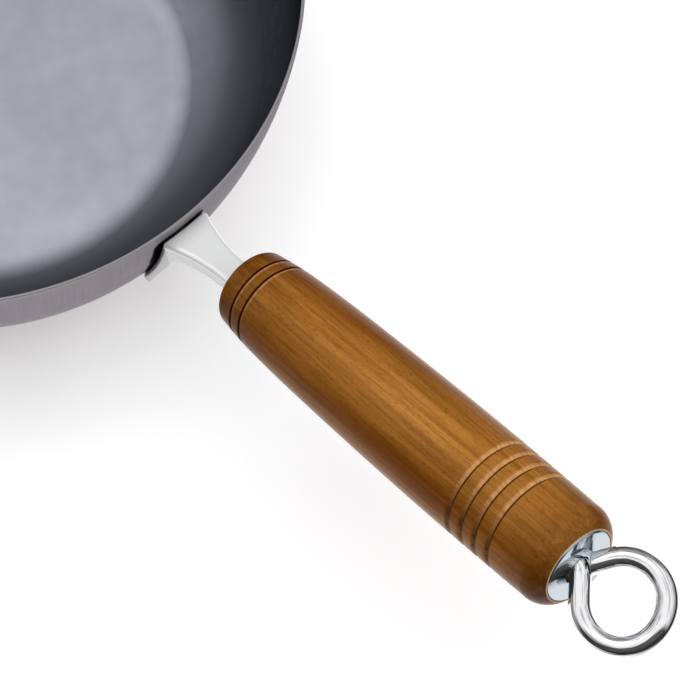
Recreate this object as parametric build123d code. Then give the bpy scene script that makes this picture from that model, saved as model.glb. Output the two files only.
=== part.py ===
"""Carbon steel wok, 24 cm across, with a plated neck bracket, a turned wooden grip and a hanging eye.

Millimetres, +Z up. The origin is the middle of the flat base, on the surface that the wok stands on.
The handle runs out along +X and rises. Its own frame starts where its axis meets the rim circle:
x runs out along the handle, y is the model's Y, and z is square to both and upwards. Lengths that
are called stations are measured along that x from its start, or along the grip from its pan end.
"""
from build123d import *

import os
from math import cos, radians, sin, sqrt, tan

# Bowl
rim_inner_diameter = 240.0
pan_depth = 75.8
pan_sheet = 1.2
wall_arc_radius = 168.0
heel_arc_radius = 42.0
rim_lean = 6.4
rim_edge_round = 0.3

# Handle axis
handle_tilt = 15.5
axis_drop_below_rim = 9.25

# Neck bracket, folded from plated strip
bracket_sheet = 1.6
bend_radius = 2.2
web_edge_radius = 2.0
web_above_axis = 2.2
channel_height = 5.4
neck_width = 10.3
pan_end_width = 18.8
straight_at_pan = 2.0
flare_length = 26.0
side_splay = 2.5
web_gap_to_pan = 0.8
notch_station = 5.4
notch_radius = 2.6
ear_bottom_height = 27.5
ear_width_at_tip = 3.4
ear_tip_round = 1.5
flange_width = 7.0
flange_relief = 4.0

# Spot welds between the bracket's flanges and the bowl
weld_diameter = 3.6
welds_per_flange = 3
weld_end_distance = 6.0

# Threaded block on the end of the bracket
block_height = 10.0
block_length = 9.0
thread_diameter = 6.0
thread_clearance = 0.1
bead_leg = 1.4

# Wooden grip
grip_start = 35.2
grip_length = 157.2
grip_full_radius = 18.1
grip_pan_face_radius = 10.8
grip_pan_edge_radius = 14.2
grip_pan_edge_length = 2.6
grip_side_station_shares = (0.062, 0.158, 0.38, 0.705, 0.948)
grip_side_radius_shares = (0.84, 0.906, 0.967, 1.0, 0.979)
grip_end_station_share = 0.984
grip_end_radius_share = 0.895
grip_end_rim = 0.3
near_groove_stations = (8.4, 13.5)
near_groove_width = 1.1
near_groove_depth = 0.6
far_grooves_to_end = 38.9
far_groove_pitch = 5.85
far_groove_count = 4
far_groove_slope = 2.1
far_groove_step = 0.25
far_groove_depth = 0.7

# Fits between the grip, the bracket and the bolt
tang_in_grip = 20.0
mortise_clearance = 0.2
mortise_corner = 0.9
shank_bore_clearance = 0.35

# End plate
plate_diameter = 25.8
plate_thickness = 2.0
plate_edge_round = 0.7
plate_seat_clearance = 0.2
plate_stand_out = 0.25
plate_hole_clearance = 0.2

# Eye bolt, one bent wire
wire_diameter = 7.0
eye_loop_radius = 13.4
eye_leg_angle = 52.5
eye_root_bend = 4.2
eye_seat_gap = 0.25
eye_turn_about_axis = 24.0
eye_droop = 11.7
eye_end_gap = 0.2
thread_end_gap = 0.5
thread_runout = 2.0

overrun = 10.0

# Sizes worked out from the ones above
rim_radius = rim_inner_diameter / 2
pan_end_half = pan_end_width / 2
neck_half = neck_width / 2
web_underside_z = web_above_axis - bracket_sheet
lower_edge_z = web_above_axis - channel_height
window_half = pan_end_half - flange_width
flange_top_z = web_underside_z - flange_relief
grip_end = grip_start + grip_length
tang_end = grip_start + tang_in_grip
block_end = tang_end + block_length
plate_face = grip_end + plate_stand_out
plate_back = plate_face - plate_thickness
plate_radius = plate_diameter / 2
wire_radius = wire_diameter / 2
thread_radius = thread_diameter / 2

axis_origin = Vector(rim_radius, 0, pan_depth - axis_drop_below_rim)
axis_x = Vector(cos(radians(handle_tilt)), 0, sin(radians(handle_tilt)))
axis_z = Vector(-sin(radians(handle_tilt)), 0, cos(radians(handle_tilt)))
handle_frame = Plane(origin=axis_origin, x_dir=axis_x, z_dir=axis_z)


def wall_centres():
    """Centres of the bowl's wall arc and heel arc, in radius and height."""
    rim_slope = radians(rim_lean)
    outer_rim = (rim_radius + pan_sheet * cos(rim_slope), pan_depth - pan_sheet * sin(rim_slope))
    upper = Vector(
        outer_rim[0] - wall_arc_radius * cos(rim_slope),
        outer_rim[1] + wall_arc_radius * sin(rim_slope),
    )
    reach = wall_arc_radius - heel_arc_radius
    flat_radius = upper.X + sqrt(reach**2 - (upper.Y - heel_arc_radius) ** 2)
    return upper, Vector(flat_radius, heel_arc_radius)


def wall_point(height):
    """The bowl's outside at a height on the wall arc, with the direction square to it."""
    upper, _ = wall_centres()
    radius = upper.X + sqrt(wall_arc_radius**2 - (upper.Y - height) ** 2)
    outwards = (Vector(radius, height) - upper).normalized()
    return radius, outwards


def bowl_curve(offset):
    """The bowl's outside in radius and height, moved out by offset: flat base, heel arc, wall arc."""
    upper, heel = wall_centres()
    down = Vector(0, -1)
    to_join = (heel - upper).normalized()
    to_rim = Vector(cos(radians(rim_lean)), -sin(radians(rim_lean)))
    heel_start = heel + down * (heel_arc_radius + offset)
    heel_middle = heel + (down + to_join).normalized() * (heel_arc_radius + offset)
    join = upper + to_join * (wall_arc_radius + offset)
    wall_middle = upper + (to_join + to_rim).normalized() * (wall_arc_radius + offset)
    rim_point = upper + to_rim * (wall_arc_radius + offset)
    curve = [
        Line((0, -offset), heel_start),
        ThreePointArc(heel_start, heel_middle, join),
        ThreePointArc(join, wall_middle, rim_point),
    ]
    return curve, rim_point


def turned(lines):
    """A solid turned about the Z axis from lines drawn in radius and height."""
    return revolve(Plane.XZ * make_face(lines), Axis.Z)


def bowl_space(offset):
    """Everything inside the bowl's outside surface moved out by offset, up to rim height."""
    curve, rim_point = bowl_curve(offset)
    top = Line(rim_point, (0, rim_point.Y))
    return turned(curve + [top, Line((0, rim_point.Y), (0, -offset))])


def make_pan_shell():
    """Pressed bowl: one sheet with a flat base, a rounded heel, a curved wall and a plain rim."""
    outer, outer_rim = bowl_curve(0)
    inner, inner_rim = bowl_curve(-pan_sheet)
    shell = turned(outer + inner + [Line(outer_rim, inner_rim), Line((0, pan_sheet), (0, 0))])
    rim_edges = shell.edges().filter_by(GeomType.CIRCLE).sort_by(Axis.Z)[-2:]
    return fillet(rim_edges, rim_edge_round)


def channel_outline(depth, inset):
    """Plan of the bracket at a depth below its web: straight neck, flare, straight pan end."""
    spread = depth * tan(radians(side_splay)) - inset
    neck = neck_half + spread
    wide = pan_end_half + spread
    rise = pan_end_half - neck_half
    flare_end = straight_at_pan + flare_length
    flare_radius = (flare_length**2 + rise**2) / (2 * rise)
    flare_middle = straight_at_pan + flare_length / 2
    middle = neck + flare_radius - sqrt(flare_radius**2 - (flare_length / 2) ** 2)
    back = -pan_depth
    end = tang_end + inset
    side = [
        Line((end, neck), (flare_end, neck)),
        ThreePointArc((flare_end, neck), (flare_middle, middle), (straight_at_pan, wide)),
        Line((straight_at_pan, wide), (back, wide)),
    ]
    other_side = [mirror(line, Plane.XZ) for line in side]
    ends = [Line((end, neck), (end, -neck)), Line((back, wide), (back, -wide))]
    return Pos(0, 0, web_above_axis - depth) * make_face(side + other_side + ends)


def channel_body(inset):
    """The bracket's whole width, from its web down past its ears, moved in by inset."""
    return loft([channel_outline(inset, inset), channel_outline(pan_depth, inset)], ruled=True)


def side_outline():
    """The bracket seen from the side, in X and Z: web, neck, notch and the ear's free edge."""
    corners = [
        (-pan_depth, web_above_axis + overrun),
        (tang_end + overrun, web_above_axis + overrun),
        (tang_end + overrun, lower_edge_z),
        (notch_station, lower_edge_z),
    ]
    points = []
    for station, height in corners:
        corner = handle_frame.from_local_coords((station, 0, height))
        points.append((corner.X, corner.Z))
    wall_at_tip, _ = wall_point(ear_bottom_height)
    ear_tip = (wall_at_tip + ear_width_at_tip, ear_bottom_height)
    points += [ear_tip, (rim_radius - pan_depth, ear_bottom_height)]
    outline = make_face(Polyline(points, close=True))
    notch_corner = outline.vertices().sort_by_distance(points[3])[0]
    outline = fillet([notch_corner], notch_radius)
    tip_corner = outline.vertices().sort_by_distance(ear_tip)[0]
    return fillet([tip_corner], ear_tip_round)


def bracket_outside():
    """The bracket as a full body with its bends rounded: first down the wall, then round the web."""
    side = extrude(Plane.XZ * side_outline(), pan_end_width, both=True)
    body = handle_frame.location * channel_body(0) & side
    body -= bowl_space(0)
    against_wall = body.edges().filter_by(lambda edge: edge.length > pan_end_width)
    against_wall = against_wall.filter_by(GeomType.BSPLINE).sort_by(Axis.Z)[:3].sort_by(Axis.Y)
    body = fillet([against_wall[0], against_wall[-1]], bend_radius)
    web = body.faces().filter_by(GeomType.PLANE).sort_by(lambda face: face.center().dot(axis_z))[-1]
    long_edges = web.edges().filter_by(GeomType.CIRCLE)
    return fillet(long_edges, web_edge_radius)


def weld_places():
    """Where the spot welds sit: planes on the bowl's outside, square to it, in rows down each flange."""
    flange_middle = pan_end_half - flange_width / 2
    lowest = ear_bottom_height + weld_end_distance
    highest = handle_frame.from_local_coords((0, 0, flange_top_z)).Z - weld_end_distance
    places = []
    for side in (-1, 1):
        for step in range(welds_per_flange):
            height = lowest + (highest - lowest) * step / (welds_per_flange - 1)
            radius, outwards = wall_point(height)
            turn = side * flange_middle / radius
            centre = Vector(radius * cos(turn), radius * sin(turn), height)
            square = Vector(outwards.X * cos(turn), outwards.X * sin(turn), outwards.Y)
            places.append(Plane(origin=centre, z_dir=square))
    return places


def weld_pins():
    """One cylinder for each spot weld, longer than the flange is thick."""
    return [place.location * Cylinder(weld_diameter / 2, overrun) for place in weld_places()]


def make_neck_bracket():
    """Folded strip: a channel neck that widens into two ears, with flanges turned in on the bowl."""
    inside = handle_frame.location * channel_body(bracket_sheet) - bowl_space(bracket_sheet)
    bracket = bracket_outside() - inside
    window = Pos(0, 0, flange_top_z) * Box(
        pan_depth, window_half * 2, pan_depth * 2, align=(Align.CENTER, Align.CENTER, Align.MAX)
    )
    relief = Pos(0, 0, web_underside_z) * Box(
        notch_station * 2,
        (pan_end_half - bracket_sheet) * 2,
        flange_relief,
        align=(Align.CENTER, Align.CENTER, Align.MAX),
    )
    at_web = Pos(0, 0, flange_top_z) * Box(
        pan_depth, pan_end_width * 2, pan_depth, align=(Align.CENTER, Align.CENTER, Align.MIN)
    )
    bracket -= handle_frame.location * window
    bracket -= handle_frame.location * relief
    bracket -= bowl_space(web_gap_to_pan) & handle_frame.location * at_web
    for pin in weld_pins():
        bracket -= pin
    return bracket


def make_spot_welds():
    """The nuggets that fill the flanges' holes and hold them to the bowl."""
    flange_space = bowl_space(bracket_sheet) - bowl_space(0)
    return [pin & flange_space for pin in weld_pins()]


def make_tie_block():
    """Block butted on the neck's end, threaded along the handle axis for the eye bolt."""
    block = Pos(tang_end, 0, 0) * Box(
        block_length, neck_width, block_height, align=(Align.MIN, Align.CENTER, Align.CENTER)
    )
    hole = Cylinder(thread_radius + thread_clearance, block_length + overrun * 2)
    block -= Pos(tang_end + block_length / 2, 0, 0) * Rot(0, 90, 0) * hole
    return handle_frame.location * block


def make_block_weld_beads(bracket):
    """Three fillet beads between the neck and the block: one on the web, one inside each side."""
    top_corner = [(tang_end, web_above_axis), (tang_end - bead_leg, web_above_axis)]
    top_corner.append((tang_end, web_above_axis + bead_leg))
    across = neck_width - web_edge_radius * 2
    beads = [extrude(Plane.XZ * make_face(Polyline(top_corner, close=True)), across / 2, both=True)]
    inner = neck_half - bracket_sheet
    for side in (-1, 1):
        corner = [(tang_end, side * neck_half), (tang_end - bead_leg, side * neck_half)]
        corner += [(tang_end - bead_leg, side * inner), (tang_end, side * (inner - bead_leg))]
        bead = extrude(Plane.XY * make_face(Polyline(corner, close=True)), web_underside_z - lower_edge_z)
        beads.append(Pos(0, 0, lower_edge_z) * bead)
    return [handle_frame.location * bead - bracket for bead in beads]


def grip_side():
    """The grip's outline from its rounded pan edge to its far shoulder, in station and radius."""
    shares = zip(grip_side_station_shares, grip_side_radius_shares)
    points = [(grip_pan_edge_length, grip_pan_edge_radius)]
    points += [(station * grip_length, radius * grip_full_radius) for station, radius in shares]
    return Spline(points)


def pan_edge(side):
    """The grip's rounded edge from its pan face, running smoothly into its side."""
    start = (grip_pan_edge_length, grip_pan_edge_radius)
    return TangentArc(start, (0, grip_pan_face_radius), tangent=side % 0, tangent_from_first=False)


def make_wooden_grip():
    """Turned handle: rounded ends, two grooves near the pan, four near the eye, and its inner bores."""
    side = grip_side()
    rim_end = (grip_length, plate_radius + plate_seat_clearance + grip_end_rim)
    far_middle = (grip_end_station_share * grip_length, grip_end_radius_share * grip_full_radius)
    outline = [
        Line((0, 0), (0, grip_pan_face_radius)),
        pan_edge(side),
        side,
        ThreePointArc(side @ 1, far_middle, rim_end),
        Line(rim_end, (grip_length, 0)),
        Line((grip_length, 0), (0, 0)),
    ]
    grip = revolve(Plane.XZ * make_face(outline), Axis.X)
    for groove in near_grooves(side) + far_grooves(side):
        grip -= revolve(Plane.XZ * make_face(Polyline(groove, close=True)), Axis.X)
    grip = Pos(grip_start, 0, 0) * grip
    along = Pos(grip_end, 0, 0) * Rot(0, 90, 0)
    grip -= along * Cylinder(plate_radius + plate_seat_clearance, (grip_end - plate_back) * 2)
    grip -= along * Cylinder(wire_radius + shank_bore_clearance, (grip_end - block_end) * 2)
    grip -= mortise()
    return handle_frame.location * grip


def radius_at(side, station):
    """The grip's radius at a station, read off its outline."""
    return (side & Line((station, 0), (station, grip_full_radius * 2))).Y


def near_grooves(side):
    """Outlines of the two even V grooves near the pan end."""
    grooves = []
    for station in near_groove_stations:
        bottom = radius_at(side, station) - near_groove_depth
        top = bottom + near_groove_depth * 2
        grooves.append([(station, bottom), (station - near_groove_width, top), (station + near_groove_width, top)])
    return grooves


def far_grooves(side):
    """Outlines of the far grooves: a long slope on the pan side and a steep step behind it."""
    grooves = []
    for count in range(far_groove_count):
        station = grip_length - far_grooves_to_end + far_groove_pitch * count
        bottom = radius_at(side, station) - far_groove_depth
        top = bottom + far_groove_depth * 2
        grooves.append(
            [(station, bottom), (station - far_groove_slope * 2, top), (station + far_groove_step * 2, top)]
        )
    return grooves


def mortise():
    """The square hole in the grip's pan end that the neck and its block slide into."""
    side_spread = channel_height * tan(radians(side_splay))
    width = neck_width + side_spread * 2 + mortise_clearance * 2
    height = block_height + mortise_clearance * 2
    hole = RectangleRounded(height, width, mortise_corner)
    depth = block_end + mortise_clearance - grip_start
    return Pos(grip_start - overrun, 0, 0) * Rot(0, 90, 0) * extrude(hole, depth + overrun)


def plate_slot_run():
    """How far the plate's slot reaches past its hole, so that the first leg's inner side clears it."""
    angle = radians(eye_leg_angle)
    inner_corner = wire_radius * tan(angle / 2) - eye_root() + plate_face
    return inner_corner * tan(angle) + plate_hole_clearance


def make_end_plate():
    """Flat plated disc in the grip's far end, with a hole for the eye bolt and a slot for its root bend."""
    plate = Cylinder(plate_radius, plate_thickness, align=(Align.CENTER, Align.CENTER, Align.MIN))
    plate = fillet(plate.edges().sort_by(Axis.Z)[-1:], plate_edge_round)
    hole_radius = wire_radius + plate_hole_clearance
    plate -= Cylinder(hole_radius, plate_thickness + overrun)
    slot = SlotCenterToCenter(plate_slot_run(), hole_radius * 2, rotation=90)
    plate -= Pos(0, -plate_slot_run() / 2, -overrun) * extrude(slot, plate_thickness + overrun * 2)
    place = handle_frame.location * Rot(eye_turn_about_axis, 0, 0) * Pos(plate_back, 0, 0)
    return place * Rot(0, 90, 0) * plate


def eye_root():
    """Where the shank's axis meets the legs: the return leg's lowest corner just clears the plate."""
    angle = radians(eye_leg_angle)
    to_corner = (wire_radius + eye_end_gap - wire_radius * cos(angle * 2)) / sin(angle * 2)
    return plate_face + eye_seat_gap - to_corner * cos(angle) + wire_radius * sin(angle)


def eye_plane():
    """The plane that the loop lies in: it starts at the root and droops from the handle's axis."""
    droop = radians(eye_droop)
    return Plane(origin=(eye_root(), 0, 0), x_dir=(cos(droop), 0, -sin(droop)), z_dir=(sin(droop), 0, cos(droop)))


def eye_leg(side, run):
    """A point on a leg's middle line at a distance from the root."""
    angle = radians(eye_leg_angle)
    return eye_plane().from_local_coords((run * cos(angle), side * run * sin(angle), 0))


def eye_path():
    """The wire's middle line: shank, root bend, leg, loop, and the return leg back to the root."""
    angle = radians(eye_leg_angle)
    turn = eye_leg(-1, 1).X - eye_root()
    bend_run = eye_root_bend * sqrt((1 - turn) / (1 + turn))
    leg_run = eye_loop_radius / tan(angle)
    far_point = eye_plane().from_local_coords((eye_loop_radius / sin(angle) + eye_loop_radius, 0, 0))
    bend_start = (eye_root() - bend_run, 0, 0)
    shank = Line((block_end + thread_runout, 0, 0), bend_start)
    return [
        shank,
        TangentArc(bend_start, eye_leg(-1, bend_run), tangent=shank % 1),
        Line(eye_leg(-1, bend_run), eye_leg(-1, leg_run)),
        ThreePointArc(eye_leg(-1, leg_run), far_point, eye_leg(1, leg_run)),
    ]


def swept_wire(path):
    """Round wire along a path."""
    return sweep(Plane(origin=path @ 0, z_dir=path % 0) * Circle(wire_radius), path)


def return_leg():
    """The loop's last straight, cut off along the first leg so that it ends beside the root."""
    angle = radians(eye_leg_angle)
    leg = swept_wire(Wire([Line(eye_leg(1, eye_loop_radius / tan(angle)), eye_leg(1, 0))]))
    cut = Pos(0, wire_radius + eye_end_gap, 0) * Box(
        eye_loop_radius * 2,
        eye_loop_radius,
        wire_diameter * 2,
        align=(Align.CENTER, Align.MAX, Align.CENTER),
    )
    return leg - eye_plane().location * Rot(0, 0, -eye_leg_angle) * cut


def make_eye_bolt():
    """Wire bent into an eye, on a shank that passes through the grip and ends in a thread."""
    thread_start = tang_end + thread_end_gap
    thread_length = block_end + thread_runout - thread_start
    thread = Cylinder(thread_radius, thread_length, align=(Align.CENTER, Align.CENTER, Align.MIN))
    bolt = swept_wire(Wire(eye_path())) + return_leg() + Pos(thread_start, 0, 0) * Rot(0, 90, 0) * thread
    return handle_frame.location * Rot(eye_turn_about_axis, 0, 0) * bolt


def save(solids, name):
    """Write one node to its own STEP file, as one solid or as a group of separate ones."""
    export_step(Compound(children=solids) if isinstance(solids, list) else solids, f"parts/{name}.step")


def main():
    """Build and write every node."""
    os.makedirs("parts", exist_ok=True)
    bracket = make_neck_bracket()
    save(make_pan_shell(), "pan_shell")
    save(bracket, "neck_bracket")
    save(make_spot_welds(), "spot_welds")
    save(make_tie_block(), "tie_block")
    save(make_block_weld_beads(bracket), "block_weld_beads")
    save(make_wooden_grip(), "wooden_grip")
    save(make_end_plate(), "end_plate")
    save(make_eye_bolt(), "eye_bolt")


if __name__ == "__main__":
    main()
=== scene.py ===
"""Carbon steel wok: finer meshes, finishes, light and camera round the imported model.

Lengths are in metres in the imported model's own frame: +Z up, the origin in the middle of the flat base,
and the handle out along +X. The handle's own frame starts where its axis meets the rim circle. A range of
four numbers in a finish maps the first two onto the last two.
"""

import logging
import math
from dataclasses import dataclass
from enum import Enum

import bpy
import numpy as np
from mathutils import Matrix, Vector


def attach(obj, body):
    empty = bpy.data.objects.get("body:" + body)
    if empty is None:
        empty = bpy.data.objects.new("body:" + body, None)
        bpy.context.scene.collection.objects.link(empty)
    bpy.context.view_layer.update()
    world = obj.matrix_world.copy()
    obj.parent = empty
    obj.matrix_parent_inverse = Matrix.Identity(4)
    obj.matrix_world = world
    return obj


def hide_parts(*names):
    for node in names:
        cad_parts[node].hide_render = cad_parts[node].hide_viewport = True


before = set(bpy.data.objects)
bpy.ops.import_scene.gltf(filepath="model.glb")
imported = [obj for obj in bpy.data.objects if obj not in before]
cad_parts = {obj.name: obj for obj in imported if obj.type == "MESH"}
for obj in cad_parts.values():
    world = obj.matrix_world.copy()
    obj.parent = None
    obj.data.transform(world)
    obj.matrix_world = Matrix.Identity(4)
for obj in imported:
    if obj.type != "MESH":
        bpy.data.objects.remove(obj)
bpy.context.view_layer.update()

BODY = "root"
FULL_TURN = 2.0 * math.pi
QUARTER_TURN = 0.5 * math.pi
TINY = 1e-9
SHARP_ANGLE = math.radians(32.0)
GRIP_MASKS = ("groove_slope", "groove_step", "raw_edge")
NOISE_RANGE = (0.3, 0.7)
WHITE = (1.0, 1.0, 1.0, 1.0)

Socket = bpy.types.NodeSocket
Colour = bpy.types.NodeSocket | tuple

log = logging.getLogger("wok")


def from_srgb(red: float, green: float, blue: float) -> tuple[float, float, float, float]:
    """Turn a display colour from 0 to 255 into the linear colour that shaders take, by the sRGB curve."""
    shares = np.array([red, green, blue]) / 255.0
    linear = np.where(shares <= 0.04045, shares / 12.92, ((shares + 0.055) / 1.055) ** 2.4)
    return (float(linear[0]), float(linear[1]), float(linear[2]), 1.0)


def smooth_step(low: float, high: float, value: np.ndarray) -> np.ndarray:
    """Rise from 0 at low to 1 at high with level ends."""
    share = np.clip((value - low) / (high - low), 0.0, 1.0)
    return share * share * (3.0 - 2.0 * share)


def window(value: np.ndarray, rise: tuple[float, float], fall: tuple[float, float]) -> np.ndarray:
    """Rise from 0 to 1 over one range of a value, and fall back to 0 over a later range."""
    return smooth_step(*rise, value) * (1.0 - smooth_step(*fall, value))


def natural_spline(knots: np.ndarray, values: np.ndarray, where: np.ndarray) -> np.ndarray:
    """Cubic curve through the knots whose second derivative is nought at both ends.

    Args:
        knots: Places of the known values, rising.
        values: The known values.
        where: Places to read the curve at.

    Returns:
        The curve's value at each place.
    """
    step = np.diff(knots)
    slope = np.diff(values) / step
    count = len(knots)
    system = np.eye(count)
    right = np.zeros(count)
    inner = np.arange(1, count - 1)
    system[inner, inner - 1] = step[:-1]
    system[inner, inner] = 2.0 * (step[:-1] + step[1:])
    system[inner, inner + 1] = step[1:]
    right[inner] = 6.0 * np.diff(slope)
    bend = np.linalg.solve(system, right)
    cell = np.clip(np.searchsorted(knots, where) - 1, 0, count - 2)
    width = step[cell]
    ahead = (knots[cell + 1] - where) / width
    behind = 1.0 - ahead
    lift = ((ahead**3 - ahead) * bend[cell] + (behind**3 - behind) * bend[cell + 1]) * width**2 / 6.0
    return ahead * values[cell] + behind * values[cell + 1] + lift


def arc_points(
    centre: tuple[float, float], radius: float, start: float, end: float, count: int
) -> np.ndarray:
    """Points on a flat arc: centre plus radius times cosine and sine of evenly spaced angles."""
    angle = np.linspace(start, end, count)
    return np.stack([centre[0] + radius * np.cos(angle), centre[1] + radius * np.sin(angle)], axis=1)


def grid_faces(rows: int, columns: int, close_rows: bool) -> np.ndarray:
    """Corner numbers of the quads on a grid that is closed across its columns.

    Args:
        rows: Number of rings.
        columns: Points in each ring, which closes on itself.
        close_rows: Whether the last ring joins the first.

    Returns:
        One row of four point numbers for each quad.
    """
    row = np.arange(rows if close_rows else rows - 1)
    column = np.arange(columns)
    low, side = np.meshgrid(row, column, indexing="ij")
    high = (low + 1) % rows
    next_side = (side + 1) % columns
    corners = ((low, side), (low, next_side), (high, next_side), (high, side))
    return np.stack([ring * columns + place for ring, place in corners], axis=-1).reshape(-1, 4)


def round_angles(count: int) -> np.ndarray:
    """Angles of evenly spaced points round a full turn."""
    return np.linspace(0.0, FULL_TURN, count, endpoint=False)


def put_in_scene(name: str, data: bpy.types.ID) -> bpy.types.Object:
    """Make an object of a mesh, a lamp or a camera and link it to the scene."""
    item = bpy.data.objects.new(name, data)
    bpy.context.scene.collection.objects.link(item)
    return item


def aim(item: bpy.types.Object, place: tuple, target: tuple) -> None:
    """Put an object at its place, with its -Z toward a target and its Y up."""
    item.location = place
    item.rotation_mode = "QUATERNION"
    item.rotation_quaternion = (Vector(target) - Vector(place)).to_track_quat("-Z", "Y")


def ring_mesh(name: str, rings: np.ndarray, close_rows: bool = False) -> bpy.types.Object:
    """Make a mesh object from rings of points, and close its ends with one pole point each.

    Args:
        name: The object's name.
        rings: Points as an array of rings by points by three.
        close_rows: Whether the last ring joins the first, as on a hollow turned piece.

    Returns:
        The object, linked to the scene, with smooth faces and sharp edges where it turns hard.
    """
    rows, columns = rings.shape[:2]
    points = rings.reshape(-1, 3)
    faces = [tuple(quad) for quad in grid_faces(rows, columns, close_rows).tolist()]
    if not close_rows:
        poles = np.stack([rings[0].mean(axis=0), rings[-1].mean(axis=0)])
        first, last = len(points), len(points) + 1
        points = np.concatenate([points, poles])
        column = np.arange(columns)
        beside = (column + 1) % columns
        start = (rows - 1) * columns
        faces += np.stack([beside, column, np.full(columns, first)], axis=1).tolist()
        faces += np.stack([start + column, start + beside, np.full(columns, last)], axis=1).tolist()
    mesh = bpy.data.meshes.new(name)
    mesh.from_pydata(points.tolist(), [], faces)
    mesh.validate()
    mesh.shade_smooth()
    mesh.set_sharp_from_angle(angle=SHARP_ANGLE)
    return put_in_scene(name, mesh)


def face_outwards(piece: bpy.types.Object) -> None:
    """Turn every face the same way, outwards, by the sign of the mesh's volume."""
    mesh = piece.data
    corners = np.zeros(len(mesh.vertices) * 3)
    mesh.vertices.foreach_get("co", corners)
    corners = corners.reshape(-1, 3)
    mesh.calc_loop_triangles()
    triangles = np.zeros(len(mesh.loop_triangles) * 3, dtype=np.int64)
    mesh.loop_triangles.foreach_get("vertices", triangles)
    first, second, third = (corners[triangles.reshape(-1, 3)[:, side]] for side in range(3))
    volume = np.einsum("ij,ij->i", first, np.cross(second, third)).sum()
    if volume < 0.0:
        mesh.flip_normals()


def add_mask(piece: bpy.types.Object, name: str, values: np.ndarray) -> None:
    """Store one number from 0 to 1 at each point of a mesh."""
    piece.data.attributes.new(name, "FLOAT", "POINT").data.foreach_set("value", values.astype(np.float32))


def dress(piece: bpy.types.Object, material: bpy.types.Material) -> None:
    """Give a new piece its material and its place on the body."""
    piece.data.materials.append(material)
    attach(piece, BODY)


def coat_node(node: str, material: bpy.types.Material) -> None:
    """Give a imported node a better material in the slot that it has."""
    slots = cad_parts[node].data.materials
    slots.clear()
    slots.append(material)


@dataclass(frozen=True)
class HandleFrame:
    """The handle's own frame: x out along its axis, y the model's Y, z square to both."""

    rim_radius: float = 0.120
    start_height: float = 0.06655
    tilt: float = math.radians(15.5)

    def axes(self) -> np.ndarray:
        """The three unit directions of the handle's frame, one in each row."""
        along = [math.cos(self.tilt), 0.0, math.sin(self.tilt)]
        above = [-math.sin(self.tilt), 0.0, math.cos(self.tilt)]
        return np.array([along, [0.0, 1.0, 0.0], above])

    def origin(self) -> np.ndarray:
        """Where the handle's axis meets the rim circle."""
        return np.array([self.rim_radius, 0.0, self.start_height])

    def to_model(self, points: np.ndarray) -> np.ndarray:
        """Move points from the handle's frame into the model's."""
        moved = points.reshape(-1, 3) @ self.axes() + self.origin()
        return moved.reshape(points.shape)

    def turned(self, station: np.ndarray, across: np.ndarray, up: np.ndarray, turn: float) -> np.ndarray:
        """Points in the model's frame after a turn about the handle's axis.

        The sideways place becomes across times the cosine less up times the sine, and the upright place
        becomes across times the sine plus up times the cosine.

        Args:
            station: Places along the axis.
            across: Sideways places.
            up: Upright places.
            turn: The angle in radians.

        Returns:
            The points, as an array with a last side of three.
        """
        cosine, sine = math.cos(turn), math.sin(turn)
        return self.to_model(
            np.stack([station, across * cosine - up * sine, across * sine + up * cosine], axis=-1)
        )


HANDLE = HandleFrame()


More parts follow.
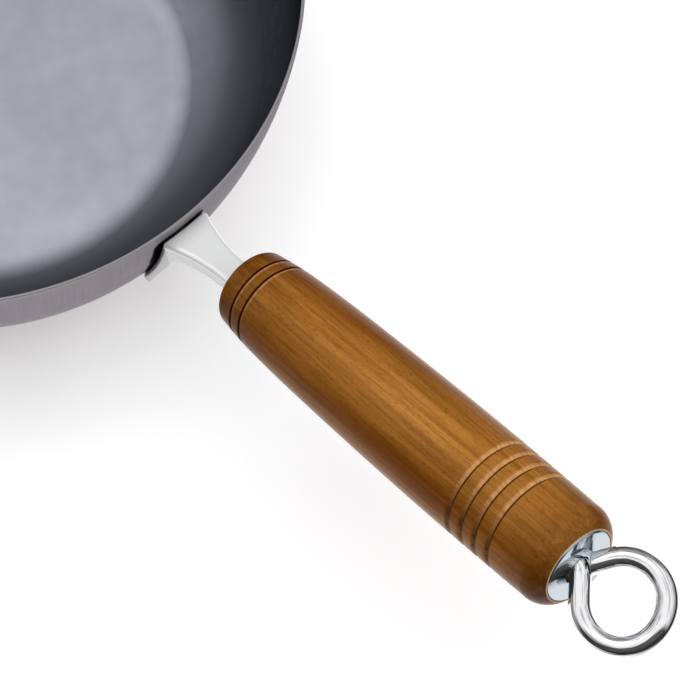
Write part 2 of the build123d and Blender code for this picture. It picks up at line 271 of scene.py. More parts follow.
class NodeSheet:
    """A node tree that is filled one node at a time, with sockets linked by name."""

    def __init__(self, tree: bpy.types.NodeTree) -> None:
        """Keep the tree that the nodes go into."""
        self.tree = tree

    def feed(self, node: bpy.types.Node, inputs: dict) -> None:
        """Set inputs of a node, by name or number, to a value or to another node's output."""
        for key, value in inputs.items():
            if isinstance(value, Socket):
                self.tree.links.new(value, node.inputs[key])
            else:
                node.inputs[key].default_value = value

    def add(self, kind: str, inputs: dict | None = None, **settings: object) -> bpy.types.Node:
        """Add one node.

        Args:
            kind: The node's type name.
            inputs: Socket name or number to a value, or to another node's output.
            settings: Properties of the node itself.

        Returns:
            The new node.
        """
        node = self.tree.nodes.new(kind)
        for key, value in settings.items():
            setattr(node, key, value)
        self.feed(node, inputs or {})
        return node

    def maths(self, operation: str, first: Socket | float, second: Socket | float = 0.0) -> Socket:
        """Add one sum or product and give its result."""
        return self.add("ShaderNodeMath", {0: first, 1: second}, operation=operation).outputs[0]

    def times(self, first: Socket, second: Socket | float) -> Socket:
        """Multiply a value."""
        return self.maths("MULTIPLY", first, second)

    def remap(
        self, value: Socket, low: float, high: float, to_low: float = 0.0, to_high: float = 1.0
    ) -> Socket:
        """Map a value from one range to another, held inside it."""
        inputs = {"Value": value, "From Min": low, "From Max": high, "To Min": to_low, "To Max": to_high}
        return self.add("ShaderNodeMapRange", inputs).outputs["Result"]

    def blend(self, share: Socket | float, first: Colour, second: Colour, mode: str = "MIX") -> Socket:
        """Mix two colours by a share."""
        node = self.add("ShaderNodeMix", data_type="RGBA", blend_type=mode)
        self.feed(node, {0: share, 6: first, 7: second})
        return node.outputs[2]

    def compare(self, operation: str, first: Socket, second: tuple) -> Socket:
        """A number from two vectors: their distance or their dot product."""
        node = self.add("ShaderNodeVectorMath", {0: first, 1: second}, operation=operation)
        return node.outputs["Value"]

    def split(self, vector: Socket) -> tuple[Socket, ...]:
        """The three numbers of a vector."""
        return tuple(self.add("ShaderNodeSeparateXYZ", {0: vector}).outputs)

    def mapped(self, vector: Socket, scale: tuple, **moves: tuple) -> Socket:
        """A vector scaled along each axis, and moved or turned by the inputs named."""
        return self.add("ShaderNodeMapping", {"Vector": vector, "Scale": scale, **moves}).outputs[0]

    def noise(self, vector: Socket, scale: Socket | float, detail: float, **inputs: float) -> Socket:
        """Soft noise round a half."""
        inputs = {"Vector": vector, "Scale": scale, "Detail": detail, **inputs}
        return self.add("ShaderNodeTexNoise", inputs).outputs[0]

    def mask(self, name: str) -> Socket:
        """A number that the mesh stores at its points."""
        return self.add("ShaderNodeAttribute", attribute_name=name).outputs["Fac"]

    def bump(self, height: Socket, strength: float, distance: float) -> Socket:
        """Normals that follow a height."""
        inputs = {"Height": height, "Strength": strength, "Distance": distance}
        return self.add("ShaderNodeBump", inputs).outputs[0]


class Effect(Enum):
    """The shared surface effects, by the name of their node group."""

    MOTTLE = "cloudy_mottle"
    SCRATCHES = "fine_scratches"
    FIBRE = "wood_fibre"


class EffectShelf:
    """Builds each shared effect once, as a node group with named sockets, and places it in materials."""

    fine_ratio: float = 6.0
    wide_share: float = 0.65
    scratch_ways: tuple = (((1.0, 18.0, 1.0), 0.35), ((16.0, 1.0, 1.0), -0.2))
    scratch_range: tuple = (0.62, 0.78)
    band_stretch: tuple = (7.0, 95.0, 95.0)
    band_shift: tuple = (0.4, 1.7, 0.3)
    fibre_stretch: tuple = (26.0, 900.0, 900.0)
    fleck_stretch: tuple = (620.0, 3000.0, 3000.0)
    fleck_range: tuple = (0.56, 0.7)
    band_swirl: float = 0.4
    fibre_crispness: float = 0.72

    def __init__(self) -> None:
        """Build the three groups."""
        self.groups = {
            Effect.MOTTLE: self.build_mottle(),
            Effect.SCRATCHES: self.build_scratches(),
            Effect.FIBRE: self.build_fibre(),
        }

    def open_group(
        self, effect: Effect, inputs: dict[str, tuple[str, object]], outputs: dict[str, str]
    ) -> tuple[NodeSheet, bpy.types.Node, bpy.types.Node]:
        """Start a group with its sockets.

        Args:
            effect: Which effect it is.
            inputs: Input name to its socket type and starting value.
            outputs: Output name to its socket type.

        Returns:
            The sheet to fill, the input node and the output node.
        """
        tree = bpy.data.node_groups.new(effect.value, "ShaderNodeTree")
        for name, (kind, value) in inputs.items():
            socket = tree.interface.new_socket(name=name, in_out="INPUT", socket_type=kind)
            if value is not None:
                socket.default_value = value
        for name, kind in outputs.items():
            tree.interface.new_socket(name=name, in_out="OUTPUT", socket_type=kind)
        sheet = NodeSheet(tree)
        return sheet, sheet.add("NodeGroupInput"), sheet.add("NodeGroupOutput")

    def build_mottle(self) -> bpy.types.NodeTree:
        """Two sizes of soft noise, mixed to one even mask round a half."""
        inputs = {"Vector": ("NodeSocketVector", None), "Scale": ("NodeSocketFloat", 60.0)}
        sheet, given, result = self.open_group(Effect.MOTTLE, inputs, {"Mask": "NodeSocketFloat"})
        where, scale = given.outputs["Vector"], given.outputs["Scale"]
        wide = sheet.times(sheet.noise(where, scale, 3.0), self.wide_share)
        fine = sheet.noise(where, sheet.times(scale, self.fine_ratio), 4.0)
        fine = sheet.times(fine, 1.0 - self.wide_share)
        sheet.feed(result, {"Mask": sheet.maths("ADD", wide, fine)})
        return sheet.tree

    def build_scratches(self) -> bpy.types.NodeTree:
        """Hair-thin bright lines in two crossing directions, kept to patches."""
        inputs = {"Vector": ("NodeSocketVector", None), "Scale": ("NodeSocketFloat", 200.0)}
        sheet, given, result = self.open_group(Effect.SCRATCHES, inputs, {"Mask": "NodeSocketFloat"})
        where, scale = given.outputs["Vector"], given.outputs["Scale"]
        lines = []
        for stretch, turn in self.scratch_ways:
            noise = sheet.noise(sheet.mapped(where, stretch, Rotation=(0.0, 0.0, turn)), scale, 2.0)
            lines.append(sheet.remap(noise, *self.scratch_range))
        sheet.feed(result, {"Mask": sheet.maths("MAXIMUM", *lines)})
        return sheet.tree

    def build_fibre(self) -> bpy.types.NodeTree:
        """Wood drawn along x: broad growth bands, long fine fibre and short dark flecks."""
        inputs = {"Vector": ("NodeSocketVector", None), "Scale": ("NodeSocketFloat", 1.0)}
        outputs = {"Bands": "NodeSocketFloat", "Fibre": "NodeSocketFloat", "Flecks": "NodeSocketFloat"}
        sheet, given, result = self.open_group(Effect.FIBRE, inputs, outputs)
        scaled = {0: given.outputs["Vector"], "Scale": given.outputs["Scale"]}
        where = sheet.add("ShaderNodeVectorMath", scaled, operation="SCALE").outputs[0]
        broad = sheet.mapped(where, self.band_stretch, Location=self.band_shift)
        fine = sheet.mapped(where, self.fibre_stretch)
        flecks = sheet.noise(sheet.mapped(where, self.fleck_stretch), 1.0, 1.0)
        effects = {
            "Bands": sheet.noise(broad, 1.0, 3.0, Distortion=self.band_swirl),
            "Fibre": sheet.noise(fine, 1.0, 5.0, Roughness=self.fibre_crispness),
            "Flecks": sheet.remap(flecks, *self.fleck_range),
        }
        sheet.feed(result, effects)
        return sheet.tree

    def place(self, sheet: NodeSheet, effect: Effect, where: Socket, scale: float) -> bpy.types.Node:
        """Place one effect in a material with its own scale."""
        inputs = {"Vector": where, "Scale": scale}
        return sheet.add("ShaderNodeGroup", inputs, node_tree=self.groups[effect])

    def mask(self, sheet: NodeSheet, effect: Effect, where: Socket, scale: float) -> Socket:
        """Place an effect that gives one mask."""
        return self.place(sheet, effect, where, scale).outputs["Mask"]


SHELF = EffectShelf()


def handle_coordinates(sheet: NodeSheet, where: Socket) -> Socket:
    """Object coordinates moved and turned into the handle's own frame."""
    inputs = {0: where, 1: tuple(HANDLE.origin())}
    moved = sheet.add("ShaderNodeVectorMath", inputs, operation="SUBTRACT").outputs[0]
    return sheet.mapped(moved, (1.0, 1.0, 1.0), Rotation=(0.0, HANDLE.tilt, 0.0))


class Finish:
    """Makes one material. Each kind of finish adds its own nodes."""

    name: str

    def fill(self, sheet: NodeSheet, shader: bpy.types.Node, where: Socket) -> None:
        """Add the finish's nodes to a sheet and feed its Principled shader from object coordinates."""
        raise NotImplementedError

    def build(self) -> bpy.types.Material:
        """Make the material and fill its sheet."""
        material = bpy.data.materials.new(self.name)
        material.use_nodes = True
        sheet = NodeSheet(material.node_tree)
        where = sheet.add("ShaderNodeTexCoord").outputs["Object"]
        self.fill(sheet, material.node_tree.nodes["Principled BSDF"], where)
        return material


@dataclass(frozen=True)
class SatinSteel(Finish):
    """Carbon steel: a pale sanded floor, dark oxide on the inner wall under painted reflection shade, and a
    brushed warm outside with painted shading.

    The footprint is the dark band of painted shade in the crevice round the bracket: its half width and
    spread on the near side, its top in the handle's frame and its bottom in the model's, then how far it
    reaches on the far side and back.
    """

    name: str = "satin_carbon_steel"
    floor: tuple = from_srgb(175, 175, 183)
    heel: tuple = from_srgb(116, 120, 126)
    wall: tuple = from_srgb(145, 148, 155)
    # painted reflection shade: the inner wall's colour darkens towards the rim
    upper_wall_painted_shade: tuple = from_srgb(126, 130, 138)
    below_rim_painted_shade: tuple = from_srgb(74, 78, 89)
    rim: tuple = from_srgb(150, 148, 150)
    outside: tuple = from_srgb(196, 189, 193)
    # painted shade: the near-black colour of the crevice round the bracket
    crevice_shade: tuple = from_srgb(26, 24, 26)
    edge_tint: tuple = (0.30, 0.31, 0.34, 1.0)
    # painted light and shade: the outside is painted paler low on the wall and darker near the rim
    outside_painted_shading: tuple = (0.03, 0.074, 1.28, 0.78)
    oxide_line: tuple = (0.00125, 0.0025)
    wall_top: float = 0.0752
    wall_shares: tuple = (0.034, 0.14, 0.3, 0.6, 0.96)
    footprint: tuple = (0.0102, 0.0022, 0.0034, 0.026)
    footprint_far: float = 0.0088
    footprint_back: float = 0.0752
    footprint_blur: float = 0.0004
    ragged_reach: float = 0.0005
    ragged_scale: float = 260.0
    streak_count: float = 150.0
    streak_stretch: tuple = (1.0, 26.0, 1.0)
    streak_shade: tuple = (0.91, 1.06)
    cloud_scale: float = 22.0
    cloud_shade: tuple = (0.9, 1.08)
    grain_scale: float = 700.0
    rub_scale: float = 60.0
    rub_shine: float = 0.05
    roughness: tuple = (0.43, 0.33)
    grain_bump: tuple = (0.35, 0.00002)

    def inner_colour(self, sheet: NodeSheet, height: Socket) -> Socket:
        """Colour of the inside by height: pale floor, the oxide line, then a wall that darkens upwards as
        painted reflection shade.
        """
        ramp = sheet.add("ShaderNodeValToRGB", {0: sheet.maths("DIVIDE", height, self.wall_top)})
        colours = (self.heel, self.wall, self.wall, self.upper_wall_painted_shade, self.below_rim_painted_shade)
        elements = ramp.color_ramp.elements
        elements.remove(elements[1])
        for count, (share, colour) in enumerate(zip(self.wall_shares, colours)):
            stop = elements[0] if count == 0 else elements.new(share)
            stop.position = share
            stop.color = colour
        return sheet.blend(sheet.remap(height, *self.oxide_line), self.floor, ramp.outputs[0])

    def brushed(self, sheet: NodeSheet, place: tuple[Socket, ...]) -> Socket:
        """Fine upright streaks on the outside: noise on the angle round the bowl, drawn out in height."""
        angle = sheet.times(sheet.maths("ARCTAN2", place[1], place[0]), self.streak_count)
        flat = sheet.add("ShaderNodeCombineXYZ", {0: angle, 1: place[2]}).outputs[0]
        return sheet.noise(sheet.mapped(flat, self.streak_stretch), 1.0, 4.0)

    def painted_crevice_shade(self, sheet: NodeSheet, where: Socket, low: Socket) -> Socket:
        """Mask of a dark band of painted shade in the crevice round the bracket, with a ragged soft edge.

        The greatest distance past any of its sides is below nought inside it. On the near side it widens
        downwards from the web's own half width, as the ear splays.

        Args:
            sheet: The material's sheet.
            where: Object coordinates.
            low: Height in the model's frame.

        Returns:
            The mask.
        """
        half_width, spread, top, bottom = self.footprint
        back, side, height = sheet.split(handle_coordinates(sheet, where))
        wider = sheet.remap(height, top, top - spread, half_width, half_width + spread)
        outside = sheet.maths("SUBTRACT", sheet.times(side, -1.0), wider)
        for first, second in (
            (side, self.footprint_far),
            (height, top),
            (bottom, low),
            (sheet.times(back, -1.0), self.footprint_back),
        ):
            outside = sheet.maths("MAXIMUM", outside, sheet.maths("SUBTRACT", first, second))
        ragged = SHELF.mask(sheet, Effect.MOTTLE, where, self.ragged_scale)
        stray = sheet.remap(ragged, *NOISE_RANGE, -self.ragged_reach, self.ragged_reach)
        edge = sheet.maths("ADD", outside, stray)
        return sheet.remap(edge, -self.footprint_blur, self.footprint_blur, 1.0, 0.0)

    def fill(self, sheet: NodeSheet, shader: bpy.types.Node, where: Socket) -> None:
        """Add the finish's nodes.

        Args:
            sheet: The material's sheet.
            shader: Its Principled shader.
            where: Object coordinates.
        """
        place = sheet.split(where)
        cloudy = SHELF.mask(sheet, Effect.MOTTLE, where, self.cloud_scale)
        grain = SHELF.mask(sheet, Effect.MOTTLE, where, self.grain_scale)
        rubs = SHELF.mask(sheet, Effect.SCRATCHES, where, self.rub_scale)
        shade = sheet.remap(cloudy, *NOISE_RANGE, *self.cloud_shade)
        inner = sheet.blend(1.0, self.inner_colour(sheet, place[2]), shade, "MULTIPLY")
        streaks = sheet.remap(self.brushed(sheet, place), *NOISE_RANGE, *self.streak_shade)
        # painted light and shade: the outside's colour is paler low on the wall and darker near the rim,
        # times the brush streaks
        paler = sheet.times(sheet.remap(place[2], *self.outside_painted_shading), streaks)
        outer = sheet.blend(1.0, self.outside, paler, "MULTIPLY")
        # painted shade: a dark band along the crevice between the bracket and the wall
        outer = sheet.blend(self.painted_crevice_shade(sheet, where, place[2]), outer, self.crevice_shade)
        outer = sheet.blend(sheet.mask("rim_edge"), outer, self.rim)
        roughness = sheet.remap(cloudy, *NOISE_RANGE, *self.roughness)
        inputs = {
            "Base Color": sheet.blend(sheet.mask("inner_skin"), outer, inner),
            "Roughness": sheet.maths("SUBTRACT", roughness, sheet.times(rubs, self.rub_shine)),
            "Normal": sheet.bump(grain, *self.grain_bump),
            "Metallic": 1.0,
            "Specular Tint": self.edge_tint,
        }
        sheet.feed(shader, inputs)


@dataclass(frozen=True)
class BrightMetal(Finish):
    """Plated or polished metal with a faint cloud, hair scratches and, on a wire, draw marks along it."""

    name: str
    colour: tuple
    roughness: float
    cloud: float
    ripple_distance: float = 0.0
    draw_marks: float = 0.0
    metallic: float = 1.0
    cloud_scale: float = 90.0
    scratch_scale: float = 90.0
    worn_share: float = 0.9
    mark_share: float = 0.6
    mark_range: tuple = (0.44, 0.36)
    mark_pitch: float = 14.0
    mark_scale: float = 3.4
    bump_strength: float = 0.6

    def drawn(self, sheet: NodeSheet) -> Socket:
        """Lines along the wire: noise on the circle round it, drawn out along it."""
        attribute = sheet.add("ShaderNodeAttribute", attribute_name="round_wire")
        across, up, _ = sheet.split(attribute.outputs["Vector"])
        along = sheet.times(sheet.mask("along_wire"), self.mark_pitch)
        where = sheet.add("ShaderNodeCombineXYZ", {0: across, 1: up, 2: along}).outputs[0]
        return sheet.noise(where, self.mark_scale, 2.0)

    def dimmed(self, share: float) -> tuple:
        """The metal's colour at a share of its brightness."""
        return tuple(channel * share for channel in self.colour[:3]) + (1.0,)

    def fill(self, sheet: NodeSheet, shader: bpy.types.Node, where: Socket) -> None:
        """Add the finish's nodes.

        Args:
            sheet: The material's sheet.
            shader: Its Principled shader.
            where: Object coordinates.
        """
        cloudy = SHELF.mask(sheet, Effect.MOTTLE, where, self.cloud_scale)
        scratches = SHELF.mask(sheet, Effect.SCRATCHES, where, self.scratch_scale)
        roughness = sheet.remap(cloudy, *NOISE_RANGE, self.roughness, self.roughness + self.cloud)
        roughness = sheet.maths("ADD", roughness, sheet.times(scratches, self.cloud))
        colour = sheet.blend(cloudy, self.dimmed(self.worn_share), self.colour)
        height, distance = cloudy, self.ripple_distance
        if self.draw_marks:
            height, distance = self.drawn(sheet), self.draw_marks
            marks = sheet.remap(height, *self.mark_range)
            colour = sheet.blend(marks, colour, self.dimmed(self.mark_share))
        sheet.feed(shader, {"Base Color": colour, "Roughness": roughness, "Metallic": self.metallic})
        if distance > 0.0:
            sheet.feed(shader, {"Normal": sheet.bump(height, self.bump_strength, distance)})


@dataclass(frozen=True)
class StainedWood(Finish):
    """Golden brown beech under a thin varnish, with pale slopes, partly painted light, and dark steps of
    painted shade in its grooves.

    A stretch along its middle is painted paler towards the eye, as painted light, and a band at +Y is
    painted darker, as painted shade. The sheen is a pale haze along its silhouette. Stations run along the
    handle's axis and sides across it, both in the handle's own frame.
    """

    name: str = "stained_beech"
    light: tuple = from_srgb(190, 130, 58)
    middle: tuple = from_srgb(122, 65, 0)
    dark: tuple = from_srgb(76, 34, 0)
    fleck: tuple = from_srgb(70, 32, 0)
    # the pale slope colour is partly painted light; the next colour is its painted shade at -Y
    slope: tuple = from_srgb(204, 152, 98)
    slope_painted_shade: tuple = from_srgb(54, 22, 3)
    # painted shade: the dark colour of the grooves' steps
    step: tuple = from_srgb(42, 12, 1)
    raw: tuple = from_srgb(196, 166, 136)
    haze: tuple = from_srgb(255, 228, 202)
    band_tone: tuple = (0.36, 0.66, 0.0, 0.62)
    # painted light: a stretch along the middle painted paler
    painted_light_side: tuple = (-0.016, -0.002, 0.0, 0.68)
    painted_light_side_end: tuple = (0.003, 0.013, 1.0, 0.1)
    painted_light_from: tuple = (0.06, 0.12, 0.15, 1.0)
    # painted shade: a band at +Y painted darker
    shaded_side: tuple = (0.003, 0.013, 0.0, 0.36)
    shaded_side_end: tuple = (0.0125, 0.0165, 1.0, 0.0)
    # both ends darker, partly stain and partly painted shade; the far end darker towards -Y as painted shade
    pan_stain: tuple = (0.066, 0.037, 0.0, 0.9)
    far_stain: tuple = (0.172, 0.192, 0.0, 0.95)
    far_end_shade_side: tuple = (-0.012, 0.004, 1.0, 0.6)
    stain_patches: tuple = (0.35, 0.6, 0.4, 1.0)
    patch_scale: float = 45.0
    streak_range: tuple = (0.38, 0.62)
    streak_share: float = 0.46
    fleck_share: float = 0.38
    fleck_relief: float = -0.6
    slope_sides: tuple = (-0.0165, -0.006)
    slope_rub: tuple = (0.4, 0.6, 0.95, 0.4)
    grain_bump: tuple = (0.25, 0.00005)
    roughness: tuple = (0.42, 0.55)
    varnish: tuple = (0.72, 0.05)
    varnish_roughness: float = 0.22
    varnish_index: float = 1.17
    sheen_weight: float = 0.7
    sheen_roughness: float = 0.24

    def tone(self, sheet: NodeSheet, station: Socket, side: Socket, bands: Socket) -> Socket:
        """How pale the wood is: its growth bands, and a stretch of painted light along its middle."""
        pale = sheet.times(sheet.remap(side, *self.painted_light_side), sheet.remap(side, *self.painted_light_side_end))
        pale = sheet.times(pale, sheet.remap(station, *self.painted_light_from))
        return sheet.maths("ADD", sheet.remap(bands, *self.band_tone), pale)

    def end_stain_and_shade(self, sheet: NodeSheet, station: Socket, side: Socket, patchy: Socket) -> Socket:
        """Darker ends of the grip, in patches: partly stain that sank in deeper and partly painted shade,
        the far end most at -Y.
        """
        # painted shade: the far end darker towards -Y
        deeper = sheet.remap(side, *self.far_end_shade_side)
        far_end = sheet.times(sheet.remap(station, *self.far_stain), deeper)
        ends = sheet.maths("MAXIMUM", sheet.remap(station, *self.pan_stain), far_end)
        return sheet.times(ends, sheet.remap(patchy, *self.stain_patches))

    def grooved(self, sheet: NodeSheet, side: Socket, fibre: Socket, colour: Socket) -> Socket:
        """Colour with the grooves' slopes pale along the fibre, partly as painted light and towards -Y as
        painted shade, their steps dark as painted shade and the edge round the plate raw.
        """
        slope, step, raw = (sheet.mask(name) for name in GRIP_MASKS)
        # painted light and shade: slopes pale at +Y, darker at -Y
        slope_light_and_shade = sheet.blend(sheet.remap(side, *self.slope_sides), self.slope_painted_shade, self.slope)
        colour = sheet.blend(sheet.times(slope, sheet.remap(fibre, *self.slope_rub)), colour, slope_light_and_shade)
        return sheet.blend(raw, sheet.blend(step, colour, self.step), self.raw)

    def fill(self, sheet: NodeSheet, shader: bpy.types.Node, where: Socket) -> None:
        """Add the finish's nodes.

        Args:
            sheet: The material's sheet.
            shader: Its Principled shader.
            where: Object coordinates.
        """
        along = handle_coordinates(sheet, where)
        station, side, _ = sheet.split(along)
        bands, fibre, flecks = SHELF.place(sheet, Effect.FIBRE, along, 1.0).outputs
        patchy = SHELF.mask(sheet, Effect.MOTTLE, where, self.patch_scale)
        streak = sheet.remap(fibre, *self.streak_range)
        # painted shade of the band at +Y
        shade = sheet.times(sheet.remap(side, *self.shaded_side), sheet.remap(side, *self.shaded_side_end))
        colour = sheet.blend(self.tone(sheet, station, side, bands), self.middle, self.light)
        for share, darker in (
            (sheet.times(streak, self.streak_share), self.dark),
            (sheet.times(flecks, self.fleck_share), self.fleck),
            (shade, self.dark),
            (self.end_stain_and_shade(sheet, station, side, patchy), self.dark),
        ):
            colour = sheet.blend(share, colour, darker)
        height = sheet.maths("ADD", fibre, sheet.times(flecks, self.fleck_relief))
        inputs = {
            "Base Color": self.grooved(sheet, side, fibre, colour),
            "Roughness": sheet.remap(streak, 0.0, 1.0, *self.roughness),
            "Normal": sheet.bump(height, *self.grain_bump),
            "Coat Weight": sheet.remap(sheet.mask("groove_step"), 0.0, 1.0, *self.varnish),
            "Coat Roughness": self.varnish_roughness,
            "Coat IOR": self.varnish_index,
            "Specular IOR Level": 0.0,
            "Sheen Weight": self.sheen_weight,
            "Sheen Roughness": self.sheen_roughness,
            "Sheen Tint": self.haze,
        }
        sheet.feed(shader, inputs)


@dataclass
class Bowl:
    """The pressed bowl: flat base, heel arc, wall arc and a thin rounded rim, dimpled inside.

    The counts are the points across the base, round the heel and up the wall.
    """

    rim_radius: float = 0.120
    depth: float = 0.0758
    sheet: float = 0.0012
    wall_arc: float = 0.168
    heel_arc: float = 0.042
    rim_lean: float = math.radians(6.4)
    rim_round: float = 0.0003
    middle_radius: float = 0.004
    outer_counts: tuple = (6, 12, 26)
    inner_counts: tuple = (10, 30, 84)
    corner_count: int = 5
    turns: int = 540
    dimple_pitch: float = 0.0052
    dimple_depth: float = 0.00016
    dimple_shift: float = 0.32
    dimple_sizes: tuple = (0.75, 1.1)
    dimple_reach: float = 0.8
    dimple_rise: tuple = (0.012, 0.024)
    dimple_fall: tuple = (0.066, 0.072)
    spare_rows: int = 3
    seed: int = 7

    def centres(self) -> tuple[np.ndarray, np.ndarray]:
        """Centres of the wall arc and the heel arc, in radius and height."""
        cosine, sine = math.cos(self.rim_lean), math.sin(self.rim_lean)
        rim = np.array([self.rim_radius + self.sheet * cosine, self.depth - self.sheet * sine])
        upper = rim + self.wall_arc * np.array([-cosine, sine])
        reach = self.wall_arc - self.heel_arc
        flat = upper[0] + math.sqrt(reach**2 - (upper[1] - self.heel_arc) ** 2)
        return upper, np.array([flat, self.heel_arc])

    def skin(self, inset: float, counts: tuple[int, int, int]) -> np.ndarray:
        """One side of the sheet from its middle to where the rim's rounding starts.

        Args:
            inset: How far inside the outer surface this side lies.
            counts: Points across the flat base, round the heel and up the wall.

        Returns:
            Points in radius and height.
        """
        upper, heel = self.centres()
        join = math.atan2(heel[1] - upper[1], heel[0] - upper[0])
        radius = np.linspace(self.middle_radius, heel[0], counts[0])
        base = np.stack([radius, np.full(counts[0], inset)], axis=1)
        heel_part = arc_points(tuple(heel), self.heel_arc - inset, -QUARTER_TURN, join, counts[1])
        wall_radius = self.wall_arc - inset
        wall_end = -self.rim_lean - self.rim_round / wall_radius
        wall = arc_points(tuple(upper), wall_radius, join, wall_end, counts[2])
        return np.concatenate([base, heel_part[1:], wall[1:]])

    def rim_corner(self, inset: float, side: float) -> np.ndarray:
        """Quarter round at one edge of the rim: from the skin to the rim's slanted top."""
        upper, _ = self.centres()
        lean = self.rim_lean
        out = np.array([math.cos(lean), -math.sin(lean)])
        up = np.array([math.sin(lean), math.cos(lean)])
        corner = upper + (self.wall_arc - inset) * out
        middle = corner - side * self.rim_round * out - self.rim_round * up
        angle = np.linspace(0.0, QUARTER_TURN, self.corner_count)
        turn = side * np.cos(angle)[:, None] * out + np.sin(angle)[:, None] * up
        return middle + self.rim_round * turn

    def dimples(self, angle: np.ndarray, radius: np.ndarray, height: np.ndarray) -> np.ndarray:
        """Depth of the hammered dimples.

        Each cell of a staggered grid on the wall holds one dimple at a shifted place. A point sinks by
        the dimple's depth times the square of one less the squared distance from it over its size.

        Args:
            angle: Angle of each point round the bowl.
            radius: Radius of each point.
            height: Height of each point.

        Returns:
            How far each point lies below the smooth skin.
        """
        random = np.random.default_rng(self.seed)
        columns = int(FULL_TURN * self.rim_radius / self.dimple_pitch)
        rows = int(self.depth / self.dimple_pitch) + 2 + self.spare_rows
        shift = random.uniform(-self.dimple_shift, self.dimple_shift, (rows, columns, 2))
        size = random.uniform(*self.dimple_sizes, (rows, columns))
        row = height / self.dimple_pitch
        depth = np.zeros_like(row)
        for row_step in (-1, 0, 1):
            cell_row = np.floor(row).astype(int) + row_step
            column = angle / FULL_TURN * columns + 0.5 * (cell_row % 2)
            for column_step in (-1, 0, 1):
                cell = np.floor(column).astype(int) + column_step
                pick = (np.clip(cell_row, 0, rows - 1), cell % columns)
                across = (column - cell - 0.5 - shift[pick][..., 0]) * radius / self.rim_radius
                up = row - cell_row - 0.5 - shift[pick][..., 1]
                reach = self.dimple_reach * size[pick]
                near = np.clip(1.0 - (across**2 + up**2) / reach**2, 0.0, 1.0)
                depth = np.maximum(depth, near**2)
        return self.dimple_depth * depth * window(height, self.dimple_rise, self.dimple_fall)

    def build(self) -> bpy.types.Object:
        """Turn the outline about Z, from the outside's middle over the rim to the inside's middle.

        Returns:
            The bowl's mesh object.
        """
        outer = self.skin(0.0, self.outer_counts)
        inner = self.skin(self.sheet, self.inner_counts)[::-1]
        near_edge = self.rim_corner(0.0, 1.0)[1:]
        far_edge = self.rim_corner(self.sheet, -1.0)[::-1][:-1]
        outline = np.concatenate([outer, near_edge, far_edge, inner])
        angle = round_angles(self.turns)
        radius = np.repeat(outline[:, :1], self.turns, axis=1)
        height = np.repeat(outline[:, 1:], self.turns, axis=1)
        turn = np.repeat(angle[None, :], len(outline), axis=0)
        inside = slice(-len(inner), None)
        radius[inside] += self.dimples(turn[inside], radius[inside], height[inside])
        rings = np.stack([radius * np.cos(turn), radius * np.sin(turn), height], axis=-1)
        piece = ring_mesh("bowl_shell", rings)
        skin, rim = np.zeros(len(outline)), np.zeros(len(outline))
        skin[inside] = 1.0
        rim[len(outer):-len(inner)] = 1.0
        add_mask(piece, "inner_skin", np.concatenate([np.repeat(skin, self.turns), [0.0, 1.0]]))
        add_mask(piece, "rim_edge", np.concatenate([np.repeat(rim, self.turns), [0.0, 0.0]]))
        face_outwards(piece)
        return piece


